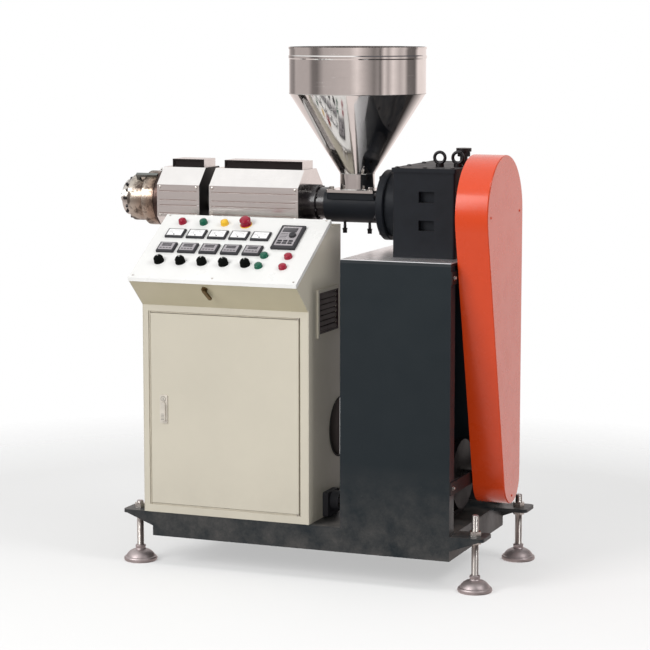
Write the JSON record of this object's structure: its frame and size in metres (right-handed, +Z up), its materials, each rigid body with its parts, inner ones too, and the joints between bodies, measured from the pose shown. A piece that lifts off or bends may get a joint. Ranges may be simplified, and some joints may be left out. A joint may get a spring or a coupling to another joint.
{
  "type": "single-screw plastic extruder",
  "caption": "Small single-screw plastic extruder: hopper, octagonal heater covers, die, gearbox under a belt guard, sloping console cabinet and a base on levelling feet.",
  "frame": {"origin": "middle of the machine's footprint box, on the floor under the levelling feet", "axes": "+X from the die along the barrel to the belt guard, +Y from the control side to the back, +Z up"},
  "size_m": [1.289, 0.651, 1.512],
  "materials": {
    "cabinet_paint": "satin",
    "machine_paint": "satin",
    "guard_paint": "gloss",
    "panel_face": "satin",
    "stainless": "polished",
    "steel": "machined",
    "heat_steel": "heat stained",
    "black_metal": "matt",
    "casting": "painted",
    "zinc": "plated",
    "black_plastic": "moulded",
    "lamp_plastic": "translucent",
    "red_plastic": "gloss",
    "button_plastic": "gloss",
    "brass": "plain"
  },
  "bodies": {
    "frame": {"base_long_rails": "machine_paint", "base_end_plates": "machine_paint", "base_deck": "machine_paint", "corner_ears": "machine_paint", "levelling_feet": "black_metal", "foot_nuts": "zinc", "pedestal_front_panel": "machine_paint", "pedestal_back_panel": "machine_paint", "pedestal_left_panel": "machine_paint", "pedestal_top_plate": "steel", "guard_crossbars": "machine_paint", "cabinet_side_panels": "cabinet_paint", "cabinet_back_panel": "cabinet_paint", "cabinet_floor": "cabinet_paint", "cabinet_top_shelf": "cabinet_paint", "console_apron": "cabinet_paint", "cabinet_front_frame": "cabinet_paint", "door_hinge_pins": "zinc", "console_hinges": "zinc", "console_latch": "brass", "side_vent": "black_metal", "power_inlet": "black_plastic", "barrel": "steel", "barrel_flange": "black_metal", "die_side_cover": "stainless", "hopper_side_cover": "stainless", "vent_boxes": "black_metal", "feed_throat": "casting", "cooling_nipples": "zinc", "die_flange": "heat_steel", "die_body": "steel", "die_heater_band": "steel", "die_bolts": "black_metal", "die_bracket": "steel", "hopper_neck": "stainless", "hopper_cone": "stainless", "hopper_drum": "stainless", "gearbox_case": "casting", "gearbox_lid": "casting", "thrust_housing": "casting", "lifting_eyes": "zinc", "breather": "zinc", "belt_guard": "guard_paint", "motor": "casting", "motor_fan_cowl": "machine_paint", "drive_shafts": "steel"},
    "door": {"cabinet_door": "cabinet_paint", "door_lock": "black_plastic"},
    "console": {"console_lid": "panel_face", "panel_meters": "black_plastic", "temperature_controllers": "black_plastic", "drive_keypad": "black_plastic", "selector_knobs": "black_plastic", "indicator_lamps": "lamp_plastic", "emergency_stop": "red_plastic", "push_buttons": "button_plastic"}
  },
  "joints": [
    {"name": "door_hinge", "type": "hinge", "parent": "frame", "child": "door", "pos_m": [0.0755, -0.2265, 0.468], "axis": [0, 0, 1], "range_deg": [0, 110]},
    {"name": "console_hinge", "type": "hinge", "parent": "frame", "child": "console", "pos_m": [-0.1485, -0.04733, 1.01485], "axis": [-1, 0, 0], "range_deg": [0, 75]}
  ]
}
